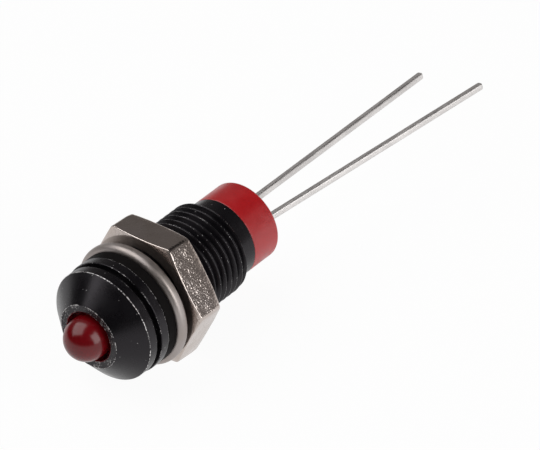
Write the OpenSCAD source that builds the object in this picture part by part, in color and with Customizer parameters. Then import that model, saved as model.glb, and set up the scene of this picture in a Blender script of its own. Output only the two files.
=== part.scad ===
// Panel mount indicator light with a red lamp in a black nose.
// The barrel lies along Y: the nose points to -Y and the leads to +Y, and a flat of the nut faces down.
// The origin is on the axis, where the gasket meets the front of the panel.
// Every turned piece is drawn with its axis along Z, rear end up, and on_axis() lays it along Y.

/* [Nose] */
// Diameter of the land round the widest part of the nose
land_d = 7.75; // [7.4:0.05:9]
// Width of the land, from the rim of the cone to the groove
land_w = 0.67; // [0.4:0.05:1.2]
// Diameter of the flat face at the tip of the nose
nose_face_d = 4.54; // [4.2:0.05:6]
// Length of the cone, from the flat face to its rim
cone_l = 1.4; // [0.8:0.1:2.5]
// Width of the groove behind the land
groove_w = 0.37; // [0.2:0.05:0.6]
// Depth of the groove behind the land
groove_depth = 0.4; // [0.2:0.05:0.6]
// Diameter of the flange ring that presses on the gasket
flange_d = 7.9; // [7.4:0.05:9]
// Width of the flange ring
flange_w = 0.69; // [0.4:0.05:1.2]
// Edge break on the outer edges of the nose
nose_edge = 0.06; // [0.02:0.01:0.15]

/* [Barrel] */
// Outside diameter of the threaded barrel, over the crests
thread_d = 6.5; // [6:0.05:7]
// Length of the thread behind the gasket
thread_l = 7.97; // [6.5:0.01:15]
// Distance from crest to crest of the thread, cut here as rings
thread_pitch = 0.53; // [0.45:0.01:0.7]
// Chamfer at the rear end of the thread
thread_chamfer = 0.2; // [0.05:0.05:0.3]
// Diameter of the plain tail behind the thread
tail_d = 5.5; // [5.2:0.05:5.9]
// Length of the plain tail
tail_l = 1.25; // [0.8:0.05:3]

/* [Bore] */
// Diameter of the recess round the lamp in the nose face
recess_d = 3.56; // [3.3:0.02:3.9]
// Depth of the recess in the nose face
recess_depth = 1.0; // [0.5:0.1:1.4]
// Diameter of the main bore, from the lamp's flange to the tail
bore_d = 4.2; // [4.1:0.05:4.6]

/* [Lamp] */
// Diameter of the lamp's body and dome
lamp_d = 2.95; // [2.8:0.05:3.1]
// Length of the lamp, from the top of its dome to its base
lamp_l = 5.3; // [5:0.1:6]
// Diameter of the flange at the lamp's base
lamp_flange_d = 3.85; // [3.6:0.05:3.95]
// Thickness of the flange at the lamp's base
lamp_flange_t = 1.0; // [0.9:0.05:1.1]
// Depth of the flat on the flange that marks the cathode
lamp_flat_depth = 0.15; // [0.05:0.01:0.2]
// How far the dome stands out of the nose face
lamp_out = 1.7; // [1:0.1:2]

/* [Lamp inner parts] */
// Height of the top of the reflector cup above the lamp's base
cup_h = 2.75; // [2.5:0.05:2.9]
// Outside diameter of the reflector cup
cup_d = 0.84; // [0.7:0.02:0.9]
// Depth of the reflector cup
cup_depth = 0.24; // [0.18:0.02:0.3]
// Side of the square chip
chip_side = 0.26; // [0.2:0.01:0.3]
// Thickness of the chip
chip_t = 0.14; // [0.1:0.01:0.17]
// Diameter of the bond wire
bond_d = 0.06; // [0.04:0.01:0.08]
// Wall of the reflector cup at its rim
cup_wall = 0.06; // [0.04:0.01:0.1]
// Thickness of the metal under the floor of the cup
cup_floor_t = 0.12; // [0.08:0.01:0.2]
// Clearance round the chip's corners on the floor of the cup
chip_clear = 0.03; // [0.02:0.01:0.04]
// Gap between the anvil under the cup and the anode post
post_gap = 0.33; // [0.25:0.01:0.4]
// Epoxy between the stamped frame and the side of the lamp
frame_cover = 0.3; // [0.2:0.01:0.35]
// Length over which each leg tapers inwards to the stamped frame
frame_taper_l = 0.25; // [0.2:0.01:0.4]
// Height above the lamp's base at which the legs start to taper
leg_h = 0.9; // [0.7:0.01:0.95]

/* [Leads] */
// Side of the square leads
lead_t = 0.45; // [0.4:0.01:0.55]
// Distance between the centres of the two leads
lead_pitch = 2.54; // [2.4:0.02:2.6]
// Length of the leads behind the end sleeve
lead_out_l = 19.76; // [12:0.01:30]
// Angle at which the anode lead is bent outwards
lead_splay = 7.5; // [0:0.25:12]
// Angle of the plane of the leads above the horizontal, on the +X side
lead_plane_angle = 14; // [-90:1:90]

/* [End sleeve and filling] */
// Length of the coloured end sleeve outside the barrel
sleeve_l = 2.4; // [1.5:0.1:4]
// Length of the sleeve's spigot inside the barrel
spigot_l = 2.0; // [1:0.1:3]
// Inside diameter of the end sleeve
sleeve_bore_d = 3.5; // [3.4:0.02:3.6]
// Edge break on the sleeve's outer rim
sleeve_edge = 0.2; // [0.05:0.01:0.25]
// Depth of the resin below the sleeve's rim
resin_recess = 0.4; // [0.1:0.05:0.8]
// Thickness of the spacer that holds the leads apart
spacer_t = 1.2; // [0.8:0.1:2]

/* [Gasket, washer and nut] */
// Width of the gasket's ring, from its hole to its outer edge
gasket_w = 0.67; // [0.5:0.01:1.5]
// Thickness of the gasket
gasket_t = 0.75; // [0.5:0.05:1.2]
// Edge break on the gasket's outer edges
gasket_edge = 0.08; // [0.02:0.01:0.15]
// Width of the washer's ring, from its hole to the crown of its round outer edge
washer_w = 0.9; // [0.8:0.01:2]
// Thickness of the washer
washer_t = 0.83; // [0.5:0.01:1]
// Gap between the washer and the loose nut
nut_gap = 0.62; // [0:0.02:1]
// Width of the nut across its flats
nut_af = 8.5; // [8:0.1:10]
// Thickness of the nut
nut_t = 2.1; // [1.8:0.05:2.8]
// How far inside the flats both of the nut's chamfers start
nut_face_inset = 0.03; // [0.02:0.01:0.15]
// Angle of the chamfer on the front face of the nut
nut_front_chamfer_angle = 13; // [5:1:30]
// Angle of the chamfer on the rear face of the nut
nut_rear_chamfer_angle = 27; // [5:1:30]
// Chamfer at the mouths of the nut's thread
nut_mouth = 0.2; // [0.1:0.05:0.3]

/* [Fits] */
// Gap all round between the barrel's thread and the nut
thread_gap = 0.05; // [0.02:0.01:0.1]
// Gap all round between the barrel's thread and the gasket
gasket_gap = 0.03; // [0.01:0.01:0.1]
// Gap all round between the barrel's thread and the washer
washer_gap = 0.15; // [0.05:0.01:0.25]
// Gap all round between the lamp's body and its seat
lamp_gap = 0.05; // [0.02:0.01:0.1]
// Gap all round between the bore and the spacer or the sleeve's spigot
bore_gap = 0.05; // [0.02:0.01:0.08]

/* [Hidden] */
$fn = 96;

BLACK = [0.05, 0.05, 0.055];
NICKEL = [0.72, 0.69, 0.66];
TIN = [0.66, 0.66, 0.66];
RUBBER = [0.03, 0.03, 0.03];
DEEP_RED = [0.42, 0.02, 0.03, 0.8];
SLEEVE_RED = [0.68, 0.06, 0.08];
RESIN_GREY = [0.16, 0.15, 0.15];
GOLD = [0.85, 0.65, 0.3];

// Stations along the axis, counted from the front of the panel
flange_z = -gasket_t;
groove_rear_z = flange_z - flange_w;
groove_front_z = groove_rear_z - groove_w;
rim_z = groove_front_z - land_w;
nose_z = rim_z - cone_l;
thread_end_z = thread_l;
tail_end_z = thread_end_z + tail_l;
thread_start_z = flange_z + thread_pitch / 8;
groove_count = floor((thread_end_z - thread_chamfer - thread_start_z) / thread_pitch);
sleeve_end_z = tail_end_z + sleeve_l;
spigot_z = tail_end_z - spigot_l;
resin_end_z = sleeve_end_z - resin_recess;
lamp_tip_z = nose_z - lamp_out;
lamp_base_z = lamp_tip_z + lamp_l;
lamp_seat_z = lamp_base_z - lamp_flange_t;
spacer_end_z = lamp_base_z + spacer_t;
cup_z = lamp_base_z - cup_h;
nut_z = washer_t + nut_gap;

// Radii and half widths that several pieces share
thread_r = thread_d / 2;
bore_r = bore_d / 2;
lamp_r = lamp_d / 2;
lamp_seat_r = lamp_r + lamp_gap;
groove_r = min(land_d, flange_d) / 2 - groove_depth;
lead_x = lead_pitch / 2;
lead_half = lead_t / 2;
cut_over = 0.1;

// The thread's form: flanks at 60 degrees, a crest an eighth and a root a quarter of the pitch wide
root_w = thread_pitch / 4;
flank_run = thread_pitch * 5 / 16;
thread_root_r = thread_r - flank_run / tan(30);

// Stations and half widths of the stamped lead frame inside the lamp
frame_step_z = lamp_base_z - leg_h;
frame_neck_z = frame_step_z - frame_taper_l;
frame_outer_x = lamp_r - frame_cover;
anvil_inner_x = cup_d / 2;
post_inner_x = anvil_inner_x + post_gap;
post_top_x = (post_inner_x + frame_outer_x) / 2;
chip_top_z = cup_z + cup_depth - chip_t;
anvil_z = cup_z + cup_depth + cup_floor_t;

// Lays a piece drawn along Z along the barrel's axis, Y
module on_axis() {
    rotate([-90, 0, 0])
        children();
}

// Turns the lamp and its leads about the axis, to the plane of the leads
module in_lead_plane() {
    on_axis()
        rotate([0, 0, -lead_plane_angle])
            children();
}

// A plate as thick as the leads, from an outline in X and Z
module stamped(outline) {
    translate([0, lead_half, 0])
        rotate([90, 0, 0])
            linear_extrude(lead_t)
                polygon(outline);
}

// A square leg along Z from one station to another, on the centre line x
module leg(x, from_z, to_z) {
    translate([x - lead_half, -lead_half, from_z])
        cube([lead_t, lead_t, to_z - from_z]);
}

// Profile of one ring of the thread from a crest's rear edge: down a flank, along the root and up again
function thread_groove(z) = [
    [thread_r, z],
    [thread_root_r, z + flank_run],
    [thread_root_r, z + flank_run + root_w],
    [thread_r, z + 2 * flank_run + root_w]
];

// The nose, flange, threaded barrel and tail, turned from one bar and bored through
module bezel_body() {
    land_r = land_d / 2;
    face_r = nose_face_d / 2;
    flange_r = flange_d / 2;
    tail_r = tail_d / 2;
    grooves = [
        for (i = [0:groove_count - 1])
            for (corner = thread_groove(thread_start_z + i * thread_pitch))
                corner
    ];
    color(BLACK) on_axis() rotate_extrude() polygon(concat([
        [recess_d / 2, nose_z],
        [face_r - nose_edge, nose_z],
        [face_r, nose_z + nose_edge],
        [land_r - nose_edge, rim_z],
        [land_r, rim_z + nose_edge],
        [land_r, groove_front_z - nose_edge],
        [land_r - nose_edge, groove_front_z],
        [groove_r, groove_front_z],
        [groove_r, groove_rear_z],
        [flange_r - nose_edge, groove_rear_z],
        [flange_r, groove_rear_z + nose_edge],
        [flange_r, flange_z - nose_edge],
        [flange_r - nose_edge, flange_z],
        [thread_r, flange_z]
    ], grooves, [
        [thread_r, thread_end_z - thread_chamfer],
        [thread_r - thread_chamfer, thread_end_z],
        [tail_r, thread_end_z],
        [tail_r, tail_end_z],
        [bore_r, tail_end_z],
        [bore_r, lamp_seat_z],
        [lamp_seat_r, lamp_seat_z],
        [lamp_seat_r, nose_z + recess_depth],
        [recess_d / 2, nose_z + recess_depth]
    ]));
}

// The flat rubber ring between the flange and the panel
module sealing_gasket() {
    inner_r = thread_r + gasket_gap;
    gasket_r = inner_r + gasket_w;
    color(RUBBER) on_axis() rotate_extrude() polygon([
        [inner_r, flange_z],
        [gasket_r - gasket_edge, flange_z],
        [gasket_r, flange_z + gasket_edge],
        [gasket_r, -gasket_edge],
        [gasket_r - gasket_edge, 0],
        [inner_r, 0]
    ]);
}

// The washer, with a full round outer edge
module rim_washer() {
    inner_r = thread_r + washer_gap;
    round_r = washer_t / 2;
    round_x = inner_r + washer_w - round_r;
    color(NICKEL) on_axis() rotate_extrude() {
        translate([inner_r, 0])
            square([round_x - inner_r, washer_t]);
        intersection() {
            translate([round_x, round_r])
                circle(round_r);
            translate([round_x, 0])
                square(washer_t);
        }
    }
}

// The hexagon nut, with both faces chamfered to a circle just inside its flats
module hex_nut() {
    corner_r = nut_af / 2 / cos(30);
    face_r = nut_af / 2 - nut_face_inset;
    bore = thread_r + thread_gap;
    cut_w = corner_r + cut_over - face_r;
    front_drop = cut_w * tan(nut_front_chamfer_angle);
    rear_drop = cut_w * tan(nut_rear_chamfer_angle);
    color(NICKEL) on_axis() translate([0, 0, nut_z]) difference() {
        intersection() {
            cylinder(r = corner_r, h = nut_t, $fn = 6);
            rotate_extrude() polygon([
                [0, 0],
                [face_r, 0],
                [corner_r + cut_over, front_drop],
                [corner_r + cut_over, nut_t - rear_drop],
                [face_r, nut_t],
                [0, nut_t]
            ]);
        }
        translate([0, 0, -cut_over])
            cylinder(r = bore, h = nut_t + 2 * cut_over);
        cylinder(r1 = bore + nut_mouth, r2 = bore, h = nut_mouth);
        translate([0, 0, nut_t - nut_mouth])
            cylinder(r1 = bore, r2 = bore + nut_mouth, h = nut_mouth);
    }
}

// Cathode: a leg, the anvil that it widens into, and the reflector cup on the anvil
module cathode_form() {
    difference() {
        union() {
            leg(-lead_x, frame_step_z, sleeve_end_z + lead_out_l);
            stamped([
                [-lead_x - lead_half, frame_step_z + lead_half],
                [-lead_x - lead_half, frame_step_z],
                [-frame_outer_x, frame_neck_z],
                [-frame_outer_x, anvil_z],
                [anvil_inner_x, anvil_z],
                [anvil_inner_x, frame_neck_z],
                [-lead_x + lead_half, frame_step_z + lead_half]
            ]);
            translate([0, 0, cup_z])
                cylinder(d = cup_d, h = anvil_z - cup_z);
        }
        translate([0, 0, cup_z])
            cylinder(d1 = cup_d - 2 * cup_wall, d2 = chip_side * sqrt(2) + 2 * chip_clear, h = cup_depth);
    }
}

// Anode: a leg, the post that it narrows into, and the free end bent outwards past the resin
module anode_form() {
    leg(lead_x, frame_step_z, resin_end_z);
    stamped([
        [lead_x + lead_half, frame_step_z + lead_half],
        [lead_x + lead_half, frame_step_z],
        [frame_outer_x, frame_neck_z],
        [frame_outer_x, chip_top_z],
        [post_inner_x, chip_top_z],
        [post_inner_x, frame_neck_z],
        [lead_x - lead_half, frame_step_z + lead_half]
    ]);
    translate([lead_x, 0, resin_end_z]) {
        rotate([0, lead_splay, 0])
            leg(0, 0, (resin_recess + lead_out_l) / cos(lead_splay));
        rotate([90, 0, 0])
            cylinder(d = lead_t, h = lead_t, center = true);
    }
}

// The chip on the floor of the reflector cup
module chip_form() {
    translate([-chip_side / 2, -chip_side / 2, chip_top_z])
        cube([chip_side, chip_side, chip_t]);
}

// The bond wire, a half ring from the top of the chip to the top of the post
module bond_form() {
    translate([post_top_x / 2, 0, chip_top_z])
        rotate([-90, 0, 0])
            rotate_extrude(angle = 180)
                translate([post_top_x / 2, 0])
                    circle(d = bond_d, $fn = 24);
}

module cathode_lead() {
    color(TIN) in_lead_plane() cathode_form();
}

module anode_lead() {
    color(TIN) in_lead_plane() anode_form();
}

module lamp_chip() {
    color(RESIN_GREY) in_lead_plane() chip_form();
}

module bond_wire() {
    color(GOLD) in_lead_plane() bond_form();
}

// The cast body of the lamp: dome, barrel and flange, with the metal parts set in it
module lamp_lens() {
    flat_x = lamp_flange_d / 2 - lamp_flat_depth;
    color(DEEP_RED) in_lead_plane() difference() {
        union() {
            translate([0, 0, lamp_tip_z + lamp_r])
                sphere(d = lamp_d);
            translate([0, 0, lamp_tip_z + lamp_r])
                cylinder(d = lamp_d, h = lamp_l - lamp_r);
            intersection() {
                translate([0, 0, lamp_seat_z])
                    cylinder(d = lamp_flange_d, h = lamp_flange_t);
                translate([-flat_x, -lamp_flange_d, lamp_seat_z])
                    cube([flat_x + lamp_flange_d, 2 * lamp_flange_d, lamp_flange_t]);
            }
        }
        cathode_form();
        anode_form();
        chip_form();
        bond_form();
    }
}

// The moulded disc behind the lamp that holds the leads apart
module lead_spacer() {
    color("white") in_lead_plane() difference() {
        translate([0, 0, lamp_base_z])
            cylinder(r = bore_r - bore_gap, h = spacer_t);
        cathode_form();
        anode_form();
    }
}

// The coloured end sleeve, with a spigot that plugs into the barrel
module end_sleeve() {
    outer_r = tail_d / 2;
    spigot_r = bore_r - bore_gap;
    inner_r = sleeve_bore_d / 2;
    color(SLEEVE_RED) on_axis() rotate_extrude() polygon([
        [inner_r, spigot_z],
        [spigot_r, spigot_z],
        [spigot_r, tail_end_z],
        [outer_r, tail_end_z],
        [outer_r, sleeve_end_z - sleeve_edge],
        [outer_r - sleeve_edge, sleeve_end_z],
        [inner_r, sleeve_end_z]
    ]);
}

// The resin that fills the barrel behind the spacer and seals the leads
module potting_resin() {
    color(RESIN_GREY) in_lead_plane() difference() {
        union() {
            translate([0, 0, spacer_end_z])
                cylinder(r = bore_r, h = spigot_z - spacer_end_z);
            translate([0, 0, spigot_z])
                cylinder(d = sleeve_bore_d, h = resin_end_z - spigot_z);
        }
        cathode_form();
        anode_form();
    }
}

bezel_body();
sealing_gasket();
rim_washer();
hex_nut();
lamp_lens();
cathode_lead();
anode_lead();
lamp_chip();
bond_wire();
lead_spacer();
end_sleeve();
potting_resin();
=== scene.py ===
"""Panel mount indicator light: turned pieces, leads, finishes and a studio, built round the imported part.

The barrel lies along Y with its nose to -Y. Lengths are in metres. Every turned piece is a closed skin
over columns of profile points, so its edges are truly rounded and its thread is a real helix.
"""

from math import atan, cos, floor, hypot, pi, radians, sin, sqrt, tan

import bmesh
import bpy
from bpy.props import FloatProperty, FloatVectorProperty, IntProperty, PointerProperty
from mathutils import Matrix, Vector


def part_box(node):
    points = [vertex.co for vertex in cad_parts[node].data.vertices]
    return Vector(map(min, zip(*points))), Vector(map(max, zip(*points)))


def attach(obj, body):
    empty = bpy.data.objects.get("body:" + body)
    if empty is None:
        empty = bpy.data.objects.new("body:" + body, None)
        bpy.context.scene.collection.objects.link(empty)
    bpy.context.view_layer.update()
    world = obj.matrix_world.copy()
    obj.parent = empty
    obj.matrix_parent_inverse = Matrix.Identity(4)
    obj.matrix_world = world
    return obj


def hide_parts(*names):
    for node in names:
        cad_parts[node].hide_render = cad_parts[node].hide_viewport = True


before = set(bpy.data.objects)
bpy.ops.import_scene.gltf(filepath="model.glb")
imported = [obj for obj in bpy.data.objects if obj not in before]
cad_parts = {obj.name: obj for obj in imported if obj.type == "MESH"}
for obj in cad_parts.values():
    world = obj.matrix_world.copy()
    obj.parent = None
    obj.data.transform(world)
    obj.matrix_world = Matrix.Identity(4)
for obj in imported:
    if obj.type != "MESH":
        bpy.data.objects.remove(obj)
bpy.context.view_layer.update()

bl_info = {
    "name": "Panel Mount Indicator Light",
    "version": (1, 0, 0),
    "blender": (4, 5, 0),
    "location": "3D View > Sidebar > Indicator",
    "description": "Builds a red panel mount indicator light with its nut and washer",
    "category": "Object",
}

MM = 0.001
BODY = "root"
WEAR = "edge_wear"

WHITE = (1.0, 1.0, 1.0)
# Angle that each flat of the nut takes up
SECTOR = radians(60)
# Points closer than this are merged, and faces narrower than this are dropped
MERGE_WITHIN = 2e-5 * MM
DROP_WITHIN = 1e-5 * MM


# ---- settings


def number(name, text, value, **more):
    """A number of 0 or more."""
    return FloatProperty(name=name, description=text, default=value, min=0.0, **more)


def length(name, text, millimetres):
    """A length property whose default is given in millimetres."""
    return number(name, text, millimetres * MM, unit="LENGTH", subtype="DISTANCE", precision=5)


def share(name, text, value):
    """A plain number from 0 to 1."""
    return number(name, text, value, max=1.0, subtype="FACTOR")


def colour(name, text, *tone):
    """A colour property, in linear values."""
    return FloatVectorProperty(name=name, description=text, default=tone, subtype="COLOR", min=0.0, max=1.0)


def point(name, text, *where):
    """A place, in metres."""
    return FloatVectorProperty(name=name, description=text, default=where, subtype="TRANSLATION")


def turn_angle(name, text, degrees):
    """An angle property whose default is given in degrees."""
    return FloatProperty(name=name, description=text, default=radians(degrees), subtype="ANGLE",
                         unit="ROTATION")


class IndicatorSizes(bpy.types.PropertyGroup):
    """Lengths and angles that the frame's boxes do not give."""

    columns: IntProperty(name="Columns", description="Columns round each turned piece", default=192, min=48)
    nose_face_r: length("Nose face radius", "Radius of the nose's flat face", 2.27)
    recess_r: length("Recess radius", "Radius of the recess round the lamp", 1.78)
    recess_depth: length("Recess depth", "Depth of the recess round the lamp", 1.0)
    cone_l: length("Cone length", "Length from the flat face to the cone's rim", 1.4)
    land_r: length("Land radius", "Radius of the land behind the cone", 3.875)
    land_w: length("Land width", "Width of the land", 0.67)
    groove_w: length("Groove width", "Width of the groove behind the land", 0.37)
    groove_r: length("Groove radius", "Radius of the groove's floor", 3.475)
    flange_r: length("Flange radius", "Radius of the ring at the gasket", 3.95)
    nose_round: length("Nose edge round", "Rounding of the nose's edges", 0.06)
    thread_r: length("Thread radius", "Radius over the thread's crests", 3.25)
    thread_pitch: length("Thread pitch", "Distance from crest to crest", 0.53)
    thread_end: length("Thread end", "Station of the thread's rear end", 7.97)
    thread_chamfer: length("Thread chamfer", "Chamfer at the thread's rear end", 0.2)
    tail_r: length("Tail radius", "Radius of the tail and the end sleeve", 2.75)
    bore_r: length("Bore radius", "Radius of the main bore", 2.1)
    seat_r: length("Seat radius", "Radius of the bore that holds the lamp", 1.525)
    seat_y: length("Seat station", "Distance of the lamp's seat from the panel", 1.28)
    lamp_r: length("Lamp radius", "Radius of the lamp's dome", 1.475)
    lamp_flange_r: length("Lamp flange radius", "Radius of the lamp's flange", 1.925)
    lamp_flat: length("Lamp flat", "Distance of its flat from the axis", 1.775)
    washer_hole_r: length("Washer hole radius", "Radius of the washer's hole", 3.4)
    gasket_hole_r: length("Gasket hole radius", "Radius of the gasket's hole", 3.28)
    nut_bore_r: length("Nut bore radius", "Radius of the nut's bore", 3.3)
    nut_mouth: length("Nut mouth", "Chamfer at the bore's mouths", 0.2)
    nut_inset: length("Nut face inset", "How far inside the flats a chamfer starts", 0.03)
    nut_front_round: length("Nut front edge round", "Rounding of its front edges", 0.06)
    nut_rear_round: length("Nut rear edge round", "Rounding of its rear edges", 0.1)
    nut_corner_round: length("Nut corner round", "Rounding between two flats", 0.36)
    nut_rear_fall: length("Nut rear fall", "Length over which its sides lean in", 0.5)
    nut_rear_lean: turn_angle("Nut rear lean", "Lean of its sides at their rear edges", 9)
    nut_front_slope: turn_angle("Nut front chamfer", "Angle of its front chamfer", 13)
    nut_rear_slope: turn_angle("Nut rear chamfer", "Angle of its rear chamfer", 14)
    nut_turn: turn_angle("Nut turn", "Turn of the loose nut", -3.0)
    nut_lean: turn_angle("Nut lean", "Lean of the loose nut", 2.8)
    nut_lean_side: turn_angle("Nut lean side", "Side that leans to the nose, from +Z towards +X", 125)
    sleeve_bore_r: length("Sleeve bore radius", "Inside radius of the end sleeve", 1.75)
    sleeve_seat: length("Sleeve seat", "Station where the sleeve meets the tail", 9.22)
    spigot_r: length("Spigot radius", "Radius of the sleeve's spigot", 2.05)
    sleeve_round: length("Sleeve edge round", "Rounding of the sleeve's outer rim", 0.2)
    resin_dip: length("Resin dip", "Depth of the dip in the resin's face", 0.09)
    lead_half: length("Lead half width", "Half the side of the square leads", 0.225)
    lead_x: length("Lead offset", "Distance of a lead from the axis", 1.27)
    lead_round: length("Lead edge round", "Rounding of the leads' long edges", 0.12)
    lead_angle: turn_angle("Lead plane", "Angle of the leads' plane to the horizontal", 14)
    lead_splay: turn_angle("Lead splay", "Angle of the bent anode lead", 7.5)


class IndicatorFinishes(bpy.types.PropertyGroup):
    """Colours and gloss of the object's finishes."""

    black: colour("Black finish", "The dark plating of the bezel", 0.005, 0.0045, 0.0055)
    # Painted light: the red light that the lamp throws on the recess's wall, painted into the wall's colour
    recess: colour("Recess", "The recess's wall, in the lamp's light", 0.24, 0.006, 0.012)
    bare_metal: colour("Bare metal", "The metal under the black finish", 0.86, 0.84, 0.83)
    rubber: colour("Gasket rubber", "The gasket's rubber", 0.0035, 0.003, 0.003)
    nickel: colour("Nickel", "The plating of the nut", 0.64, 0.57, 0.54)
    washer: colour("Washer plating", "The duller plating of the washer", 0.45, 0.405, 0.39)
    lens: colour("Lamp red", "The tinted epoxy of the lamp", 0.17, 0.003, 0.006)
    tin: colour("Tinned lead", "The tinned leads", 0.83, 0.80, 0.785)
    sleeve: colour("Sleeve red", "The moulded end sleeve", 0.46, 0.0065, 0.01)
    resin: colour("Resin", "The resin in the barrel", 0.035, 0.03, 0.03)
    nylon: colour("Nylon", "The spacer between the leads", 0.72, 0.71, 0.67)
    gold: colour("Gold", "The bond wire", 0.83, 0.55, 0.20)
    chip: colour("Chip", "The lamp's chip", 0.10, 0.09, 0.08)
    black_gloss: share("Black roughness", "Roughness of the black finish", 0.26)
    nickel_gloss: share("Nickel roughness", "Roughness of the nickel", 0.16)
    lens_gloss: share("Lamp roughness", "Roughness of the lamp's dome", 0.2)
    sleeve_gloss: share("Sleeve roughness", "Roughness of the end sleeve", 0.34)
    rubber_gloss: share("Rubber roughness", "Roughness of the gasket", 0.62)


class IndicatorStudio(bpy.types.PropertyGroup):
    """The camera, the two soft boxes and the surroundings."""

    camera_at: point("Camera", "Where the camera stands", 0.198247, -0.229043, 0.24104)
    camera_aim: point("Aim", "The point that the camera looks at", 0.004894, 0.008061, 0.004073)
    camera_turn: turn_angle("Camera turn", "Turn of the camera about the barrel's axis", 2.5)
    camera_lens: number("Lens", "Focal length in millimetres", 410.1)
    key_power: number("Key power", "Power of the high soft box, in watts", 1.72)
    side_power: number("Side power", "Power of the low soft box, in watts", 1.12)
    floor_gap: length("Floor gap", "Room under the washer for the nut's lowest corner", 0.1)
    floor_white: share("Floor", "Lightness of the floor", 1.0)
    floor_shade: share("Floor shade", "Strength of the shadow on the floor", 0.05)
    floor_gleam: share("Floor gleam", "Near floor's brightness in reflections", 0.86)
    floor_far: share("Far floor", "Far floor's brightness in reflections", 0.25)
    room_tone: colour("Room tone", "Colour of the room's light", 1.0, 0.945, 0.92)
    room_back: share("Room behind", "Room's light behind the object", 0.23)
    room_horizon: share("Room horizon", "Extra light low down behind the object", 0.8)
    room_front: share("Room in front", "Room's light in front of the object", 0.03)
    room_high: share("Room overhead", "Share of the room's light overhead", 0.58)


def sizes():
    return bpy.context.scene.indicator_sizes


def finishes():
    return bpy.context.scene.indicator_finishes


def studio():
    return bpy.context.scene.indicator_studio


# ---- meshes


def rounded(corners, steps=4):
    """A profile with rounded corners. A corner is (radius, station), or (radius, station, rounding, wear).

    Returns points (radius, station, wear). A rounded corner gets a point on either side with no wear,
    so that wear stays on the edge."""
    rounding_share, margin_share = 0.42, 0.49
    widest_margin, end_wear = 0.05 * MM, 0.45
    points = []
    for index, (radius, station, *edge) in enumerate(corners):
        if not edge:
            points.append((radius, station, 0.0))
            continue
        rounding, wear = edge
        here = Vector((radius, station))
        before = Vector(corners[index - 1][:2]) - here
        after = Vector(corners[(index + 1) % len(corners)][:2]) - here
        turn = pi - before.angle(after)
        shorter = min(before.length, after.length)
        reach = min(rounding * tan(turn / 2), rounding_share * shorter)
        real = reach / tan(turn / 2)
        start, end = here + before.normalized() * reach, here + after.normalized() * reach
        middle = (before.normalized() + after.normalized()).normalized()
        centre = here + middle * hypot(reach, real)
        margin = min(rounding * 0.8, widest_margin)
        lead_in = min(reach + margin, margin_share * before.length)
        lead_out = min(reach + margin, margin_share * after.length)
        points.append((*(here + before.normalized() * lead_in), 0.0))
        arm = start - centre
        sweep = arm.angle_signed(end - centre)
        for step in range(steps + 1):
            part = step / steps
            spot = centre + Matrix.Rotation(-sweep * part, 2) @ arm
            points.append((spot.x, spot.y, wear * (end_wear + (1.0 - end_wear) * sin(pi * part))))
        points.append((*(here + after.normalized() * lead_out), 0.0))
    return points


def even_angles(count):
    """Angles of the columns, from 0 to a full turn."""
    return [2 * pi * index / count for index in range(count + 1)]


def skin(name, angles, columns, closed=True):
    """A closed mesh over columns of (radius, station, wear), one for each angle from +Z towards +X.

    The last column lies on the first one's place, and points that meet are merged, so a column may be
    shifted along the helix of a thread. A column that isn't closed starts and ends on the axis."""
    bm = bmesh.new()
    wear_layer = bm.verts.layers.float.new(WEAR)
    rows = []
    for angle, column in zip(angles, columns):
        row = []
        for radius, station, wear in column:
            vertex = bm.verts.new((radius * sin(angle), station, radius * cos(angle)))
            vertex[wear_layer] = wear
            row.append(vertex)
        rows.append(row)
    for here, there in zip(rows, rows[1:]):
        count = len(here)
        for index in range(count if closed else count - 1):
            following = (index + 1) % count
            bm.faces.new((here[index], there[index], there[following], here[following]))
    bmesh.ops.remove_doubles(bm, verts=bm.verts, dist=MERGE_WITHIN)
    bmesh.ops.dissolve_degenerate(bm, edges=bm.edges, dist=DROP_WITHIN)
    bmesh.ops.recalc_face_normals(bm, faces=bm.faces)
    return to_piece(name, bm)


def to_piece(name, bm, sharp_above=38):
    """An object from a bmesh, smooth except where faces meet at more than the given degrees."""
    mesh = bpy.data.meshes.new(name)
    bm.to_mesh(mesh)
    bm.free()
    for polygon in mesh.polygons:
        polygon.use_smooth = True
    mesh.set_sharp_from_angle(angle=radians(sharp_above))
    piece = bpy.data.objects.new(name, mesh)
    bpy.context.scene.collection.objects.link(piece)
    piece.modifiers.new("Even shading", "WEIGHTED_NORMAL").keep_sharp = True
    return piece


def finish_piece(piece, material, slot, *nodes):
    """Gives a piece its material and body, and lets it stand for its solids. The slot is not used."""
    piece.data.materials.append(material)
    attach(piece, BODY)
    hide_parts(*nodes)


def turned(name, corners, steps=4, closed=True, count=None):
    """A plain turned piece."""
    profile = rounded(corners, steps)
    angles = even_angles(count or sizes().columns)
    return skin(name, angles, [profile] * len(angles), closed)


# Phase, share of depth and wear at each row of one turn of thread: a rounded crest, a flank, the flat root
# and the other flank
THREAD_ROWS = (
    (0.0, 0.0, 0.42), (0.0542, 0.0268, 0.32), (0.0938, 0.10, 0.1), (0.13, 0.216, 0.0), (0.375, 1.0, 0.0),
    (0.625, 1.0, 0.0), (0.87, 0.216, 0.0), (0.9062, 0.10, 0.1), (0.9458, 0.0268, 0.32),
)
# Depth of the thread as a share of its pitch
THREAD_DEPTH = 0.5413


def thread_at(phase):
    """Depth share and wear of the thread at a phase of its turn."""
    phase -= floor(phase)
    rows = THREAD_ROWS + ((1.0, *THREAD_ROWS[0][1:]),)
    for (from_phase, from_depth, from_wear), (to_phase, to_depth, to_wear) in zip(rows, rows[1:]):
        if phase <= to_phase:
            part = (phase - from_phase) / (to_phase - from_phase)
            return from_depth + part * (to_depth - from_depth), from_wear + part * (to_wear - from_wear)
    return THREAD_ROWS[0][1:]


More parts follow.
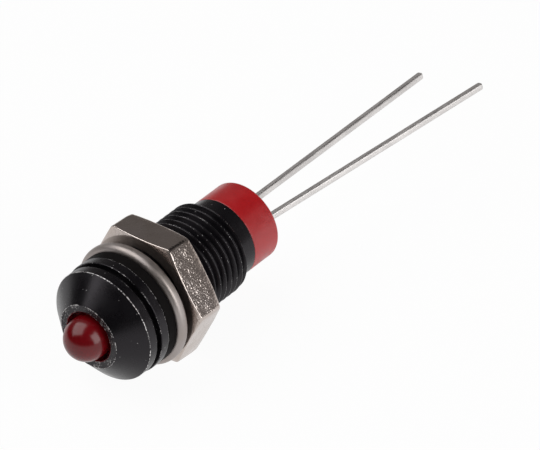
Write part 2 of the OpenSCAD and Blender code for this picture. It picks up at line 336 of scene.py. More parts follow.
def thread_column(turn_part, start, end):
    """Points of the barrel's thread at one part of a turn, from the start to the end station."""
    size = sizes()
    pitch, crest = size.thread_pitch, size.thread_r
    points = []
    for turn in range(int((end - start) / pitch) + 3):
        for phase, _, _ in THREAD_ROWS:
            station = min(max(start + (turn + phase - 1 + turn_part) * pitch, start), end)
            depth, wear = thread_at((station - start) / pitch - turn_part)
            fade = min(1.0, (station - start) / pitch)
            radius = crest - depth * THREAD_DEPTH * pitch * fade
            limit = crest - max(0.0, station - (end - size.thread_chamfer))
            points.append((min(radius, limit), station, wear * fade))
    return points


# ---- shader nodes


def put(tree, socket, value):
    """Fills a socket with a value, or links it to the socket that gives one. A colour gets its alpha."""
    if isinstance(value, bpy.types.NodeSocket):
        tree.links.new(value, socket)
    else:
        socket.default_value = (*tuple(value)[:3], 1.0) if socket.type == "RGBA" else value


def add(tree, kind, inputs=None, **settings):
    """Adds a node, applies its settings and fills or links its inputs by name or number."""
    made = tree.nodes.new("ShaderNode" + kind)
    for key, value in settings.items():
        setattr(made, key, value)
    for key, value in (inputs or {}).items():
        put(tree, made.inputs[key], value)
    return made


def calc(tree, operation, first, second=0.0, third=0.0, clamp=False):
    """The result of a Math node."""
    return add(tree, "Math", {0: first, 1: second, 2: third}, operation=operation, use_clamp=clamp).outputs[0]


def times(tree, first, second):
    """A product."""
    return calc(tree, "MULTIPLY", first, second)


def between(tree, value, low, high, to_low=0.0, to_high=1.0):
    """Value carried from one range to another along a smooth step."""
    node = add(tree, "MapRange", {"Value": value, "From Min": low, "From Max": high, "To Min": to_low,
                                  "To Max": to_high}, interpolation_type="SMOOTHSTEP")
    return node.outputs[0]


def mix_value(tree, factor, first, second):
    """The first value at a factor of 0, the second at 1."""
    return add(tree, "Mix", {0: factor, 2: first, 3: second}, data_type="FLOAT").outputs[0]


def mix_colour(tree, factor, first, second):
    """The first colour at a factor of 0, the second at 1."""
    return add(tree, "Mix", {0: factor, 6: first, 7: second}, data_type="RGBA").outputs[2]


def noise(tree, where, scale, detail, roughness=0.5):
    """The value of a Noise texture."""
    return add(tree, "TexNoise", {"Vector": where, "Scale": scale, "Detail": detail,
                                  "Roughness": roughness}).outputs["Fac"]


def swayed(tree, base, value, weight):
    """A base moved up and down by a noise, which varies about 0.5."""
    return calc(tree, "MULTIPLY_ADD", calc(tree, "SUBTRACT", value, 0.5), weight, base)


def group(fill, inputs):
    """The shader node group that a function fills, built once. Its name is the function's."""
    name = fill.__name__.replace("_", " ").title()
    tree = bpy.data.node_groups.get(name)
    if tree:
        return tree
    tree = bpy.data.node_groups.new(name, "ShaderNodeTree")
    for label in inputs:
        tree.interface.new_socket(label, in_out="INPUT", socket_type="NodeSocketFloat")
    results = fill(tree, tree.nodes.new("NodeGroupInput").outputs)
    for label in results:
        tree.interface.new_socket(label, in_out="OUTPUT", socket_type="NodeSocketFloat")
    leave = tree.nodes.new("NodeGroupOutput")
    for label, value in results.items():
        tree.links.new(value, leave.inputs[label])
    return tree


def place(tree, fill, **values):
    """Places the node group that a function fills. Keyword names stand for its inputs' names."""
    node = tree.nodes.new("ShaderNodeGroup")
    node.node_tree = group(fill, [key.title() for key in values])
    for key, value in values.items():
        put(tree, node.inputs[key.title()], value)
    return node.outputs


def in_millimetres(tree):
    """Object coordinates in millimetres."""
    where = add(tree, "TexCoord").outputs["Object"]
    return add(tree, "VectorMath", {0: where, "Scale": 1 / MM}, operation="SCALE").outputs[0]


def place_parts(tree):
    """X, Y and Z of the object coordinates in millimetres."""
    return add(tree, "SeparateXYZ", {0: in_millimetres(tree)}).outputs


def axis_distance(tree, parts):
    """Distance from the barrel's axis, from the parts of a place."""
    upward = times(tree, parts["Z"], parts["Z"])
    return calc(tree, "SQRT", calc(tree, "MULTIPLY_ADD", parts["X"], parts["X"], upward))


def worn_edge(tree, given):
    """Where a finish is rubbed off an edge: the edge's own wear, broken up by patches and specks."""
    patch_weight, speck_weight, edge_gain = 1.3, 2.2, 1.15
    rubbed_from, rubbed_to = 0.52, 0.63
    where = in_millimetres(tree)
    patches = noise(tree, where, given["Patches"], 3.0, 0.6)
    specks = noise(tree, where, given["Specks"], 2.0, 0.7)
    edge = times(tree, given["Edge"], given["Amount"])
    broken = swayed(tree, swayed(tree, edge, patches, patch_weight), specks, speck_weight)
    rubbed = between(tree, broken, rubbed_from, rubbed_to)
    reach = calc(tree, "MULTIPLY", given["Edge"], edge_gain, clamp=True)
    return {"Mask": times(tree, rubbed, reach)}


def dust_specks(tree, given):
    """Sparse specks: small cells of a Voronoi pattern, only some of which show."""
    where = in_millimetres(tree)
    cells = add(tree, "TexVoronoi", {"Vector": where, "Scale": given["Density"]}).outputs
    chosen = add(tree, "SeparateColor", {0: cells["Color"]}).outputs[0]
    shown = calc(tree, "GREATER_THAN", given["Share"], chosen)
    dot = calc(tree, "LESS_THAN", cells["Distance"], given["Size"])
    return {"Mask": times(tree, shown, dot)}


def fine_grain(tree, given):
    """A fine even grain, as height and as a tone that varies about 0.5."""
    fine_share = 0.5
    where = in_millimetres(tree)
    fine = noise(tree, where, given["Grain"], 4.0, 0.65)
    broad = noise(tree, where, given["Cloud"], 2.0)
    return {"Height": fine, "Tone": swayed(tree, broad, fine, fine_share)}


def turning_marks(tree, given):
    """Marks that a turning tool leaves: noise stretched round the barrel's axis."""
    drift = 0.05
    parts = place_parts(tree)
    angle = calc(tree, "ARCTAN2", parts["Z"], parts["X"])
    ring = add(tree, "CombineXYZ", {0: axis_distance(tree, parts), 1: parts["Y"],
                                    2: times(tree, calc(tree, "SINE", angle), drift)})
    return {"Height": noise(tree, ring.outputs[0], given["Marks"], 4.0, 0.75)}


def plating_peel(tree, given):
    """The orange peel of barrel plating: soft dimples with small sharp dents among them."""
    dent_share = 0.45
    where = in_millimetres(tree)
    soft = noise(tree, where, given["Peel"], 1.5)
    dents = add(tree, "TexVoronoi", {"Vector": where, "Scale": given["Dents"]}, feature="SMOOTH_F1").outputs
    hollow = between(tree, dents["Distance"], 0.05, 0.45)
    return {"Height": calc(tree, "MULTIPLY_ADD", hollow, dent_share, soft), "Tone": soft}


def new_material(name):
    """An empty material with its Principled shader, and its tree."""
    material = bpy.data.materials.new(name)
    material.use_nodes = True
    return material, material.node_tree, material.node_tree.nodes["Principled BSDF"]


def feed(tree, shader, **values):
    """Fills or links the shader's inputs. Keyword names stand for socket names, with _ for a space."""
    for key, value in values.items():
        put(tree, shader.inputs[key.replace("_", " ")], value)


def bumped(tree, *layers):
    """The normal after one Bump node for each (height, depth in millimetres, strength)."""
    normal = None
    for height, depth, strength in layers:
        inputs = {"Height": height, "Distance": depth * MM, "Strength": strength}
        if normal is not None:
            inputs["Normal"] = normal
        normal = add(tree, "Bump", inputs).outputs[0]
    return normal


def own_wear(tree):
    """The piece's own wear attribute."""
    return add(tree, "Attribute", attribute_name=WEAR, attribute_type="GEOMETRY").outputs["Fac"]


def varied(tree, grain, tone, darkest, lightest):
    """A tone that goes darker and lighter with the grain."""
    return mix_colour(tree, grain["Tone"], [darkest * c for c in tone], [lightest * c for c in tone])


def roughened(tree, grain, rough, less, more, low=0.25, high=0.75):
    """A roughness that goes from a little less to a little more with the grain."""
    return between(tree, grain["Tone"], low, high, rough - less, rough + more)


def black_finish():
    """Black plating over turned metal: glossy, faintly ringed by the tool, rubbed bright on its edges. The
    recess's wall has the lamp's red light painted into its colour.
    """
    look = finishes()
    dust_strength = 0.42
    worn_metallic, worn_rough = 0.35, 0.36
    recess = sizes().recess_r / MM
    material, tree, shader = new_material("black_finish")
    bare = place(tree, worn_edge, edge=own_wear(tree), amount=0.6, patches=1.3, specks=11.0)["Mask"]
    dust = place(tree, dust_specks, density=3.4, share=0.16, size=0.10)["Mask"]
    grain = place(tree, fine_grain, grain=26.0, cloud=0.7)
    rings = place(tree, turning_marks, marks=14.0)["Height"]
    show = calc(tree, "MAXIMUM", bare, times(tree, dust, dust_strength))
    radius = axis_distance(tree, place_parts(tree))
    # Painted light: inside the recess radius the base colour turns to the lamp's red light painted on the
    # wall
    painted_lamp_light_mask = between(tree, radius, recess + 0.01, recess + 0.06, 1.0, 0.0)
    base = mix_colour(tree, painted_lamp_light_mask, varied(tree, grain, look.black, 0.75, 1.35), look.recess)
    rough = roughened(tree, grain, look.black_gloss, 0.05, 0.07)
    feed(tree, shader, Base_Color=mix_colour(tree, show, base, look.bare_metal),
         Metallic=times(tree, show, worn_metallic),
         Roughness=mix_value(tree, show, rough, worn_rough), IOR=1.4, Specular_Tint=(1.0, 0.93, 1.0),
         Normal=bumped(tree, (rings, 0.004, 0.6), (grain["Height"], 0.004, 0.5)))
    return material


def grained(name, tone, tones, rough, rough_range, grain, cloud, bump, **more):
    """A finish whose tone and roughness vary with a fine grain, with more of the shader's settings."""
    material, tree, shader = new_material(name)
    parts = place(tree, fine_grain, grain=grain, cloud=cloud)
    feed(tree, shader, Base_Color=varied(tree, parts, tone, *tones),
         Roughness=roughened(tree, parts, rough, *rough_range),
         Normal=bumped(tree, (parts["Height"], *bump)), **more)
    return material


def gasket_rubber():
    """Matte black rubber with a dusty bloom."""
    look = finishes()
    return grained("gasket_rubber", look.rubber, (1.0, 2.4), look.rubber_gloss, (0.08, 0.1, 0.2, 0.8),
                   grain=15.0, cloud=1.2, bump=(0.012, 0.6), IOR=1.3, Specular_IOR_Level=0.13)


def lamp_epoxy():
    """Tinted cast epoxy."""
    look = finishes()
    return grained("lamp_epoxy", look.lens, (0.8, 1.2), look.lens_gloss, (0.03, 0.03, 0.3, 0.7),
                   grain=3.0, cloud=0.8, bump=(0.004, 0.35), IOR=1.5, Transmission_Weight=0.12)


def red_plastic():
    """The end sleeve's moulded plastic."""
    look = finishes()
    return grained("red_plastic", look.sleeve, (0.86, 1.14), look.sleeve_gloss, (0.05, 0.07),
                   grain=16.0, cloud=0.9, bump=(0.006, 0.5), IOR=1.72, Subsurface_Weight=0.12,
                   Subsurface_Radius=(1.0, 0.2, 0.1), Subsurface_Scale=0.4 * MM)


def plain_finish(name, tone, rough, metallic=0.0, grain=18.0, depth=0.005):
    """A simple finish for resin, nylon, gold and the chip."""
    return grained(name, tone, (0.82, 1.18), rough, (0.06, 0.08), grain, cloud=1.0, bump=(depth, 0.6),
                   Metallic=metallic)


def nickel_plate(name, tone, gloss, peel, peel_depth, marks, mark_depth, swell):
    """Nickel over brass or steel, with a peel of the given fineness and depth and with turning marks.

    Where the piece's wear attribute says so, the plating is dull and its turning marks are deep."""
    cut_tone, cut_rough, cut_depth = 0.66, 0.42, 3.0
    material, tree, shader = new_material(name)
    turned_face = own_wear(tree)
    plated = place(tree, plating_peel, peel=peel, dents=0.7 * peel)
    grain = place(tree, fine_grain, grain=11.0, cloud=0.5)
    broad = place(tree, plating_peel, peel=1.1, dents=0.9)["Height"]
    rings = place(tree, turning_marks, marks=marks)["Height"]
    warm = [0.88 * tone[0], 0.86 * tone[1], 0.83 * tone[2]]
    base = mix_colour(tree, between(tree, grain["Tone"], 0.3, 0.72), warm, tone)
    cut = times(tree, calc(tree, "ADD", rings, 0.2), turned_face)
    base = mix_colour(tree, cut, base, [cut_tone * c for c in warm])
    bright = roughened(tree, plated, gloss, 0.03, 0.05, 0.3, 0.7)
    ridges = times(tree, rings, calc(tree, "MULTIPLY_ADD", turned_face, cut_depth, 1.0))
    feed(tree, shader, Base_Color=base, Metallic=1.0,
         Roughness=mix_value(tree, turned_face, bright, cut_rough),
         Normal=bumped(tree, (broad, swell, 1.0), (plated["Height"], peel_depth, 1.0),
                       (ridges, mark_depth, 0.8)))
    return material


def tinned_lead():
    """Tinned wire, drawn and sheared, with lengthwise streaks."""
    look = finishes()
    stretch, dull_share = 0.06, 0.84
    material, tree, shader = new_material("tinned_lead")
    parts = place_parts(tree)
    drawn_out = times(tree, parts["Y"], stretch)
    along = add(tree, "CombineXYZ", {0: parts["X"], 1: drawn_out, 2: parts["Z"]})
    streak = noise(tree, along.outputs[0], 14.0, 3.0)
    grain = place(tree, fine_grain, grain=9.0, cloud=0.6)
    dull = [dull_share * c for c in look.tin]
    feed(tree, shader, Base_Color=mix_colour(tree, between(tree, grain["Tone"], 0.3, 0.75), dull, look.tin),
         Metallic=1.0, Roughness=between(tree, streak, 0.3, 0.7, 0.36, 0.5),
         Normal=bumped(tree, (streak, 0.003, 0.6), (grain["Height"], 0.0025, 0.6)))
    return material


# ---- operators


class BuildBezel(bpy.types.Operator):
    """Builds the turned nose, flange, threaded barrel and tail as one closed skin"""

    bl_idname = "indicator.bezel"
    bl_label = "Bezel and threaded barrel"

    def execute(self, context):
        size = sizes()
        low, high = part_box("bezel_body")
        nose, tail = low.y, high.y
        rim = nose + size.cone_l
        groove = rim + size.land_w
        ring = groove + size.groove_w
        flange_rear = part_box("sealing_gasket")[0].y
        edge = size.nose_round
        front = rounded([
            (size.seat_r, -size.seat_y),
            (size.seat_r, nose + size.recess_depth),
            (size.recess_r, nose + size.recess_depth),
            (size.recess_r, nose, edge * 0.7, 0.75),
            (size.nose_face_r, nose, edge, 1.0),
            (size.land_r, rim, edge * 1.3, 1.0),
            (size.land_r, groove, edge * 0.8, 0.7),
            (size.groove_r, groove),
            (size.groove_r, ring),
            (size.flange_r, ring, edge * 0.8, 0.6),
            (size.flange_r, flange_rear, edge, 0.95),
            (size.thread_r, flange_rear),
        ])
        rear = rounded([
            (size.tail_r, size.thread_end),
            (size.tail_r, tail, edge * 0.6, 0.55),
            (size.bore_r, tail),
            (size.bore_r, -size.seat_y),
        ])
        on_face, face_wear = 0.001 * MM, 0.42
        front = [(r, y, max(w, face_wear) if abs(y - nose) < on_face else w) for r, y, w in front]
        angles = even_angles(size.columns)
        columns = [front[:-1] + thread_column(angle / (2 * pi), flange_rear, size.thread_end) + rear
                   for angle in angles]
        finish_piece(skin("turned_bezel", angles, columns), black_finish(), "black_chrome", "bezel_body")
        return {"FINISHED"}


def flat_ring(name, hole_r, box, hole_round, rim_round, steps=4):
    """A flat ring that fills its box, with rounded edges."""
    low, high = box
    return turned(name, [(hole_r, low.y, hole_round, 0), (high.x, low.y, rim_round, 0),
                         (high.x, high.y, rim_round, 0), (hole_r, high.y, hole_round, 0)], steps)


class BuildRings(bpy.types.Operator):
    """Builds the rubber gasket and the washer with its round outer edge"""

    bl_idname = "indicator.rings"
    bl_label = "Gasket and washer"

    def execute(self, context):
        size = sizes()
        hole_round, rim_round, washer_hole_round = 0.03 * MM, 0.09 * MM, 0.05 * MM
        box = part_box("sealing_gasket")
        gasket = flat_ring("rubber_gasket", size.gasket_hole_r, box, hole_round, rim_round)
        finish_piece(gasket, gasket_rubber(), "gasket_rubber", "sealing_gasket")
        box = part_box("rim_washer")
        full_round = 0.499 * (box[1].y - box[0].y)
        washer = flat_ring("round_edge_washer", size.washer_hole_r, box, washer_hole_round, full_round, 10)
        plate = nickel_plate("nickel_washer", finishes().washer, gloss=0.46, peel=2.0, peel_depth=0.003,
                             marks=16.0, mark_depth=0.004, swell=0.004)
        finish_piece(washer, plate, "nickel_washer", "rim_washer")
        return {"FINISHED"}


def nut_corner(half_flats, corner_round):
    """How far out the centre of a corner's rounding lies, and the angle at which a flat ends."""
    reach = (half_flats - corner_round) / cos(SECTOR / 2)
    return reach, atan(reach * sin(SECTOR / 2) / half_flats)


def nut_radius(angle, half_flats, corner_round):
    """Distance from the axis to the nut's rounded hexagon at an angle from the middle of a flat."""
    reach, flat_end = nut_corner(half_flats, corner_round)
    off_flat = (angle + SECTOR / 2) % SECTOR - SECTOR / 2
    off_corner = SECTOR / 2 - abs(off_flat)
    if off_corner < SECTOR / 2 - flat_end:
        return reach * cos(off_corner) + sqrt(corner_round ** 2 - (reach * sin(off_corner)) ** 2)
    return half_flats / cos(off_flat)


def nut_angles(half_flats, corner_round, along_flat=12, at_corner=6):
    """Angles of the nut's columns, close together round each corner."""
    _, flat_end = nut_corner(half_flats, corner_round)
    gap = SECTOR - 2 * flat_end
    angles = []
    for flat in range(6):
        middle = flat * SECTOR
        angles += [middle - flat_end + 2 * flat_end * step / along_flat for step in range(along_flat + 1)]
        angles += [middle + flat_end + gap * step / at_corner for step in range(1, at_corner)]
    return angles + [angles[0] + 2 * pi]


def rolled_edge(radius, face_r, ball, slope, fall=0.0, lean=0.0):
    """Profile from a nut's face over its chamfer to its side, as a ball rolls over it.

    The side leans in over its fall. Points are (radius, depth below the face, how far the turned face
    reaches)."""
    face_margin, side_margin = 0.06 * MM, 0.05 * MM
    face_steps, side_steps = 2, 4
    upright = pi / 2 - lean
    side = radius - fall * tan(lean) / 2 - ball * sin(upright)
    first = min(side, face_r - ball * tan(slope / 2))
    last_depth = ball + (side - first) * tan(slope)
    points = [(first - face_margin, 0.0, 1.0)]
    for step in range(face_steps + 1):
        turn = slope * step / face_steps
        points.append((first + ball * sin(turn), ball - ball * cos(turn), 1.0 - 0.25 * step))
    for step in range(side_steps + 1):
        turn = slope + (upright - slope) * step / side_steps
        points.append((side + ball * sin(turn), last_depth - ball * cos(turn), 0.0))
    end_r, end_depth, _ = points[-1]
    for part in (0.25, 0.5, 0.75, 1.0) if fall > 0 else ():
        rise = fall * tan(lean) * (part - part * part / 2)
        points.append((end_r + rise, end_depth + fall * part, 0.0))
    return points + [(radius, points[-1][1] + side_margin, 0.0)]


def nut_column(radius, low, high):
    """Profile of the nut where its side is at the radius."""
    size = sizes()
    face_r = high.z - size.nut_inset
    bore, mouth = size.nut_bore_r, size.nut_mouth
    front = rolled_edge(radius, face_r, size.nut_front_round, size.nut_front_slope)
    rear = rolled_edge(radius, face_r, size.nut_rear_round, size.nut_rear_slope,
                       size.nut_rear_fall, size.nut_rear_lean)
    return [(bore, low.y + mouth, 1.0), (bore + mouth, low.y, 1.0),
            *((r, low.y + depth, wear) for r, depth, wear in front),
            *((r, high.y - depth, wear) for r, depth, wear in reversed(rear)),
            (bore + mouth, high.y, 1.0), (bore, high.y - mouth, 1.0)]


class BuildNut(bpy.types.Operator):
    """Builds the hexagon nut, chamfered on both faces and softened by its plating"""

    bl_idname = "indicator.nut"
    bl_label = "Hexagon nut"

    def execute(self, context):
        size = sizes()
        low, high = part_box("hex_nut")
        angles = nut_angles(high.z, size.nut_corner_round)
        columns = [nut_column(nut_radius(a, high.z, size.nut_corner_round), low, high) for a in angles]
        piece = skin("hexagon_nut", angles, columns)
        axis = Vector((0.0, 1.0, 0.0))
        toward = Vector((sin(size.nut_lean_side), 0.0, cos(size.nut_lean_side)))
        middle = Matrix.Translation(axis * (low.y + high.y) / 2)
        turn = Matrix.Rotation(size.nut_turn, 4, axis)
        lean = Matrix.Rotation(size.nut_lean, 4, axis.cross(toward))
        piece.data.transform(middle @ lean @ turn @ middle.inverted())
        look = finishes()
        plate = nickel_plate("nickel_nut", look.nickel, gloss=look.nickel_gloss, peel=8.5, peel_depth=0.011,
                             marks=7.0, mark_depth=0.0015, swell=0.03)
        finish_piece(piece, plate, "nickel_nut", "hex_nut")
        return {"FINISHED"}


class BuildLamp(bpy.types.Operator):
    """Builds the lamp's cast body, and finishes the chip and bond wire inside it and the spacer between the
    leads
    """

    bl_idname = "indicator.lamp"
    bl_label = "Lamp"

    def execute(self, context):
        size = sizes()
        low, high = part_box("lamp_lens")
        radius, tip, base, seat = size.lamp_r, low.y, high.y, -size.seat_y
        edge, steps = 0.04 * MM, 32
        dome = [(radius * sin(t), tip + radius - radius * cos(t), 0.0)
                for t in (pi / 2 * step / steps for step in range(steps + 1))]
        angles = even_angles(size.columns // 2)
        columns = []
        for angle in angles:
            away = -cos(angle - pi / 2 + size.lead_angle)
            flange = min(size.lamp_flange_r, size.lamp_flat / away) if away > 0 else size.lamp_flange_r
            columns.append(dome + [
                (radius, seat, 0.0), (flange - edge, seat, 0.0), (flange, seat + edge, 0.0),
                (flange, base - edge, 0.0), (flange - edge, base, 0.0), (0.0, base, 0.0)])
        lens = skin("lamp_dome", angles, columns, closed=False)
        finish_piece(lens, lamp_epoxy(), "red_epoxy", "lamp_lens")
        look = finishes()
        for node, name, tone, rough, metallic in (
            ("lamp_chip", "chip_top", look.chip, 0.3, 0.3),
            ("bond_wire", "gold_wire", look.gold, 0.25, 1.0),
            ("lead_spacer", "white_nylon", look.nylon, 0.45, 0.0),
        ):
            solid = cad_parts[node]
            solid.data.materials.clear()
            solid.data.materials.append(plain_finish(name, tone, rough, metallic))
        return {"FINISHED"}


def smooth_bend(corner, direction_from, direction_to, radius, steps=5):
    """Points of an arc that turns from one direction to another about a corner."""
    turn = direction_from.angle_signed(direction_to)
    reach = abs(radius * tan(turn / 2))
    return [corner - direction_from * reach * (1 - t) ** 2 + direction_to * reach * t ** 2
            for t in (step / steps for step in range(steps + 1))]


def drawn_in(outline, inset):
    """A clockwise outline moved inwards by an inset."""
    moved = []
    for before, here, after in zip(outline[-1:] + outline[:-1], outline, outline[1:] + outline[:1]):
        arriving, leaving = (here - before).normalized(), (after - here).normalized()
        inward = Vector((arriving.y + leaving.y, -arriving.x - leaving.x))
        moved.append(here + inward * inset / (1 + arriving.dot(leaving)))
    return moved


def stamped_wire(name, outline, steps=4):
    """A stamped and tinned wire from its clockwise outline in the leads' plane, with its edges rounded."""
    size = sizes()
    bm = bmesh.new()
    edge, flat = size.lead_round, size.lead_half - size.lead_round
    levels = [(flat + edge * sin(turn), edge - edge * cos(turn))
              for turn in (pi / 2 * step / steps for step in range(steps + 1))]
    levels = [(-height, inset) for height, inset in reversed(levels)] + levels
    rings = [[bm.verts.new((x, y, height)) for x, y in drawn_in(outline, inset)]
             for height, inset in levels]
    bm.faces.new(rings[0])
    bm.faces.new(list(reversed(rings[-1])))
    count = len(outline)
    for below, above in zip(rings, rings[1:]):
        for index in range(count):
            following = (index + 1) % count
            bm.faces.new((below[index], above[index], above[following], below[following]))
    bmesh.ops.recalc_face_normals(bm, faces=bm.faces)
    into_plane = Matrix.Rotation(-size.lead_angle, 4, "Y")
    bmesh.ops.transform(bm, matrix=into_plane, verts=bm.verts)
    return to_piece(name, bm)


def tip_points(centre, direction, half, blunt, steps=4):
    """The rounded end of a lead, going round from its left side to its right."""
    side = Vector((direction.y, -direction.x))
    turns = [pi / 2 * step / steps for step in range(steps + 1)]
    points = []
    for hand, order in ((-1, turns), (1, turns[::-1])):
        middle = centre + side * hand * (half - blunt) - direction * blunt
        points += [middle + side * hand * blunt * cos(turn) + direction * blunt * sin(turn) for turn in order]
    return points


class BuildLeads(bpy.types.Operator):
    """Builds the two stamped leads with the frame that holds the chip"""

    bl_idname = "indicator.leads"
    bl_label = "Leads"

    def execute(self, context):
        size = sizes()
        half, offset = size.lead_half, size.lead_x
        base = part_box("lamp_lens")[1].y
        chip_low, chip_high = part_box("lamp_chip")
        chip_top, chip_seat = chip_low.y, chip_high.y
        cup_rim, anvil = chip_top - 0.10 * MM, chip_seat + 0.12 * MM
        step, neck = base - 0.9 * MM, base - 1.15 * MM
        outer = size.lamp_r - 0.3 * MM
        cup_r, post = 0.42 * MM, 0.75 * MM
        bend_inner_r, bend_outer_r = 1.6 * MM, 1.2 * MM
        blunt = size.lead_round + 0.04 * MM
        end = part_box("cathode_lead")[1].y
        straight = Vector((0.0, 1.0))
        cathode = [
            Vector((-outer, anvil)), Vector((-outer, neck)), Vector((-offset - half, step)),
            *tip_points(Vector((-offset, end)), straight, half, blunt),
            Vector((-offset + half, step + half)), Vector((cup_r, neck)), Vector((cup_r, anvil)),
        ]
        wire = tinned_lead()
        finish_piece(stamped_wire("cathode_wire", cathode), wire, "tinned_lead", "cathode_lead")

        resin_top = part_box("potting_resin")[1].y
        splay = size.lead_splay
        out = Vector((sin(splay), cos(splay)))
        corner = Vector((offset, resin_top))
        free = (end - resin_top) / cos(splay)
        bend_out = corner + Vector((half, -half * tan(splay / 2)))
        bend_in = corner + Vector((-half, half * tan(splay / 2)))
        anode = [
            Vector((post, chip_top)), Vector((post, neck)), Vector((offset - half, step + half)),
            *smooth_bend(bend_in, straight, out, bend_inner_r),
            *tip_points(corner + out * free, out, half, blunt),
            *reversed(smooth_bend(bend_out, straight, out, bend_outer_r)),
            Vector((offset + half, step)), Vector((outer, neck)), Vector((outer, chip_top)),
        ]
        finish_piece(stamped_wire("anode_wire", anode), wire, "tinned_lead", "anode_lead")

        floor_r, rim_w, outer_round, inner_round = 0.21 * MM, 0.06 * MM, 0.02 * MM, 0.015 * MM
        cup = turned("reflector_cup", [
            (0.0, anvil), (cup_r, anvil), (cup_r, cup_rim, outer_round, 0),
            (cup_r - rim_w, cup_rim, inner_round, 0), (floor_r, chip_seat), (0.0, chip_seat),
        ], closed=False, count=64)
        cup.data.materials.append(wire)
        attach(cup, BODY)
        return {"FINISHED"}


class BuildSleeve(bpy.types.Operator):
    """Builds the red end sleeve and the resin that fills it"""

    bl_idname = "indicator.sleeve"
    bl_label = "End sleeve and resin"

    def execute(self, context):
        size = sizes()
        wall, dip, climb = size.sleeve_bore_r, size.resin_dip, 0.45
        spigot_round, seat_round, mouth_round = 0.05 * MM, 0.04 * MM, 0.1 * MM
        front, rear = (corner.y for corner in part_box("end_sleeve"))
        sleeve = turned("red_sleeve", [
            (wall, front), (size.spigot_r, front, spigot_round, 0),
            (size.spigot_r, size.sleeve_seat), (size.tail_r, size.sleeve_seat, seat_round, 0.5),
            (size.tail_r, rear, size.sleeve_round, 0.6), (wall, rear, mouth_round, 0.6),
        ], steps=6)
        finish_piece(sleeve, red_plastic(), "red_plastic", "end_sleeve")
        low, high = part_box("potting_resin")
        meniscus = [(wall * (1 - t), high.y + dip * (climb - (1 + climb) * (1 - (1 - t) ** 5)))
                    for t in (0, 0.04, 0.09, 0.16, 0.26, 0.4, 0.6, 0.8, 1.0)]
        resin = turned("resin_fill", [
            (0.0, low.y), (size.bore_r, low.y), (size.bore_r, front), (wall, front),
            *meniscus,
        ], closed=False, count=96)
        finish_piece(resin, plain_finish("potting_resin", finishes().resin, 0.3, grain=4.0, depth=0.01),
                     "potting", "potting_resin")
        return {"FINISHED"}


def soft_box(name, toward, width, height, power, roll, away=0.45):
    """A soft box in a direction from the object, facing it."""
    lamp = bpy.data.lights.new(name, "AREA")
    lamp.shape = "RECTANGLE"
    lamp.size, lamp.size_y = width, height
    lamp.energy = power
    box = bpy.data.objects.new(name, lamp)
    direction = Vector(toward).normalized()
    box.location = Vector(studio().camera_aim) + direction * away
    box.rotation_euler = (direction.to_track_quat("Z", "Y").to_matrix()
                          @ Matrix.Rotation(radians(roll), 3, "Z")).to_euler()
    bpy.context.scene.collection.objects.link(box)


def emptied(owner):
    """The node tree of a material or world, with nothing in it."""
    owner.use_nodes = True
    owner.node_tree.nodes.clear()
    return owner.node_tree


def floor_finish(view):
    """White to the camera, and matt with a trace of shadow. Glossy rays see it gleam near the object."""
    gleam_centre, near, far = (0.0, 0.15, 0.0), 0.16, 0.31
    material = bpy.data.materials.new("pale_floor")
    tree = emptied(material)
    diffuse = add(tree, "BsdfDiffuse", {"Color": [view.floor_white] * 3}).outputs[0]
    rays = add(tree, "LightPath").outputs
    away = add(tree, "VectorMath", {0: add(tree, "TexCoord").outputs["Object"], 1: gleam_centre},
               operation="DISTANCE")
    gleam = between(tree, away.outputs["Value"], near, far, view.floor_gleam, view.floor_far)
    shown = mix_value(tree, rays["Is Camera Ray"], gleam, 1.0)
    glow = add(tree, "Emission", {"Color": WHITE, "Strength": shown}).outputs[0]
    seen = calc(tree, "MAXIMUM", rays["Is Camera Ray"],
                calc(tree, "MAXIMUM", rays["Is Glossy Ray"], rays["Is Transmission Ray"]))
    share_glow = times(tree, seen, 1.0 - view.floor_shade)
    shader = add(tree, "MixShader", {0: share_glow, 1: diffuse, 2: glow}).outputs[0]
    add(tree, "OutputMaterial", {"Surface": shader})
    return material


def studio_room(view):
    """White to the camera. The light of the room rises to the rear, and low down behind the object."""
    overhead_dark = 0.15
    world = bpy.data.worlds.new("studio_room")
    tree = emptied(world)
    facing = add(tree, "SeparateXYZ", {0: add(tree, "TexCoord").outputs["Generated"]}).outputs
    rearward = between(tree, facing["Y"], -0.35, 0.5, view.room_front, view.room_back)
    upward = between(tree, facing["Z"], 0.0, 0.34, 1.0, view.room_high)
    overhead = between(tree, facing["Z"], 0.62, 0.76, 1.0, overhead_dark)
    room = times(tree, times(tree, rearward, upward), overhead)
    low_back = times(tree, between(tree, facing["Y"], 0.6, 0.85),
                    between(tree, facing["Z"], 0.02, 0.18, view.room_horizon, 0.0))
    rays = add(tree, "LightPath").outputs
    strength = mix_value(tree, rays["Is Camera Ray"], calc(tree, "ADD", room, low_back), 1.0)
    tone = mix_colour(tree, rays["Is Camera Ray"], view.room_tone, WHITE)
    backdrop = add(tree, "Background", {"Color": tone, "Strength": strength}).outputs[0]
    add(tree, "OutputWorld", {"Surface": backdrop})
    return world


def studio_camera(view):
    """The camera, aimed and then turned about the barrel's axis."""
    lens = bpy.data.cameras.new("camera")
    lens.lens = view.camera_lens
    lens.clip_start, lens.clip_end = 0.01, 100.0
    camera = bpy.data.objects.new("camera", lens)
    look = Vector(view.camera_aim) - Vector(view.camera_at)
    aimed = Matrix.Translation(view.camera_at) @ look.to_track_quat("-Z", "Y").to_matrix().to_4x4()
    camera.matrix_world = Matrix.Rotation(view.camera_turn, 4, "Y") @ aimed
    return camera


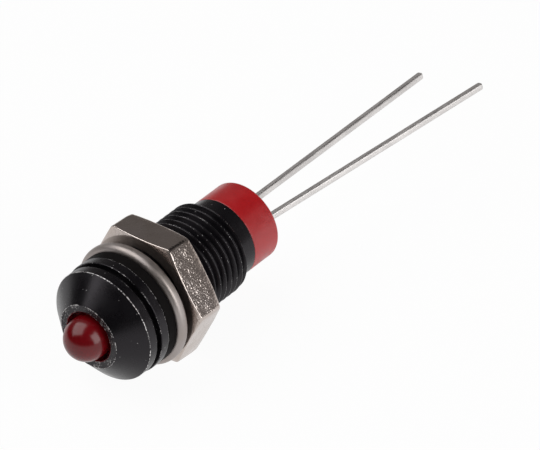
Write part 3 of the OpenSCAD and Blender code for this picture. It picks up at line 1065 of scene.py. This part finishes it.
class BuildStage(bpy.types.Operator):
    """Builds the floor, the soft boxes, the surroundings and the camera"""

    bl_idname = "indicator.stage"
    bl_label = "Stage"

    def execute(self, context):
        scene, view = context.scene, studio()
        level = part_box("rim_washer")[0].z - view.floor_gap
        far = 30.0
        corners = [(-far, -far, level), (far, -far, level), (far, far, level), (-far, far, level)]
        mesh = bpy.data.meshes.new("floor")
        mesh.from_pydata(corners, [], [(0, 1, 2, 3)])
        mesh.materials.append(floor_finish(view))
        floor_plane = bpy.data.objects.new("floor", mesh)
        scene.collection.objects.link(floor_plane)
        scene.world = studio_room(view)
        soft_box("high_soft_box", (-0.464, -0.259, 0.848), 0.54, 0.46, view.key_power, roll=-20)
        soft_box("side_soft_box", (0.917, 0.092, 0.388), 0.31, 0.40, view.side_power, roll=5)
        scene.camera = studio_camera(view)
        scene.collection.objects.link(scene.camera)
        scene.view_settings.view_transform = "Standard"
        return {"FINISHED"}


STEPS = (BuildStage, BuildBezel, BuildRings, BuildNut, BuildLamp, BuildLeads, BuildSleeve)


class IndicatorPanel(bpy.types.Panel):
    """Lists the steps that build the indicator light"""

    bl_idname = "VIEW3D_PT_indicator"
    bl_label = "Indicator Light"
    bl_space_type = "VIEW_3D"
    bl_region_type = "UI"
    bl_category = "Indicator"

    def draw(self, context):
        for step in STEPS:
            self.layout.operator(step.bl_idname)


SETTINGS = {"indicator_sizes": IndicatorSizes, "indicator_finishes": IndicatorFinishes,
            "indicator_studio": IndicatorStudio}
CLASSES = (*SETTINGS.values(), *STEPS, IndicatorPanel)


def register():
    for each in CLASSES:
        bpy.utils.register_class(each)
    for name, settings in SETTINGS.items():
        setattr(bpy.types.Scene, name, PointerProperty(type=settings))


def unregister():
    for name in SETTINGS:
        delattr(bpy.types.Scene, name)
    for each in reversed(CLASSES):
        bpy.utils.unregister_class(each)


def main():
    """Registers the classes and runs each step."""
    register()
    for step in STEPS:
        family, name = step.bl_idname.split(".")
        getattr(getattr(bpy.ops, family), name)()


if __name__ == "__main__":
    main()
